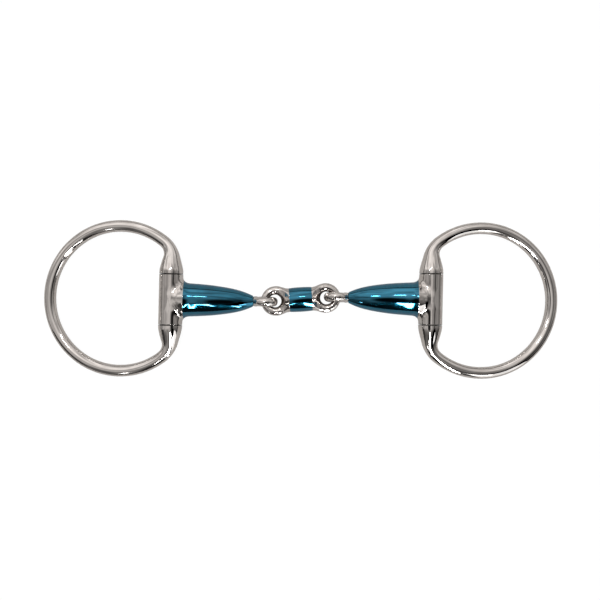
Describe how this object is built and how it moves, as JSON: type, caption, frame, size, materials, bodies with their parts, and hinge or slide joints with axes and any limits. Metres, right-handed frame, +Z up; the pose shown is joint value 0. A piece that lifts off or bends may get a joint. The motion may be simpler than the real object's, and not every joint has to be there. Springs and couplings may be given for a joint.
{
  "type": "snaffle bit",
  "caption": "Double-jointed eggbutt snaffle bit: polished steel cheek rings that swivel on barrel hinges, tapering blue metal cannons and a short sleeved centre link.",
  "frame": {"origin": "on the surface that the bit lies on, under the middle of the centre link, which is the bottom centre of the whole box", "axes": "+X runs along the mouthpiece towards the right ring, +Y runs across the mouthpiece in the plane that the rings lie in, and +Z is up from the surface"},
  "size_m": [0.2796, 0.0854, 0.0189],
  "materials": {
    "polished_steel": "mirror-polished stainless steel with a warm grey tone",
    "blue_metal": "polished petrol-blue metal, clear and mirror-like",
    "pin_steel": "plain turned steel"
  },
  "bodies": {
    "centre_link": {"link_core": "polished_steel", "link_sleeve": "blue_metal"},
    "left_cannon": {"left_cannon_core": "polished_steel", "left_cannon_sleeve": "blue_metal"},
    "right_cannon": {"right_cannon_core": "polished_steel", "right_cannon_sleeve": "blue_metal"},
    "left_ring": {"left_cheek_ring": "polished_steel"},
    "right_ring": {"right_cheek_ring": "polished_steel"},
    "left_pin": {"left_hinge_pin": "pin_steel"},
    "right_pin": {"right_hinge_pin": "pin_steel"}
  },
  "joints": [
    {"name": "left_fold", "type": "hinge", "parent": "centre_link", "child": "left_cannon", "pos_m": [-0.01922, -0.00114, 0.00667], "axis": [0.0226, 0.9997, 0], "range_deg": [-95, 95]},
    {"name": "right_fold", "type": "hinge", "parent": "centre_link", "child": "right_cannon", "pos_m": [0.01922, 0.00114, 0.00667], "axis": [-0.0226, -0.9997, 0], "range_deg": [-95, 95]},
    {"name": "left_ring_swivel", "type": "hinge", "parent": "left_cannon", "child": "left_ring", "pos_m": [-0.0698, 0, 0.00984], "axis": [-0.0226, -0.9997, 0], "range_deg": [-160, 160]},
    {"name": "right_ring_swivel", "type": "hinge", "parent": "right_cannon", "child": "right_ring", "pos_m": [0.0698, 0, 0.00984], "axis": [0.0226, 0.9997, 0], "range_deg": [-160, 160]},
    {"name": "left_pin_turn", "type": "hinge", "parent": "left_cannon", "child": "left_pin", "pos_m": [-0.0698, 0, 0.00984], "axis": [-0.0226, -0.9997, 0], "continuous": true},
    {"name": "right_pin_turn", "type": "hinge", "parent": "right_cannon", "child": "right_pin", "pos_m": [0.0698, 0, 0.00984], "axis": [0.0226, 0.9997, 0], "continuous": true}
  ]
}
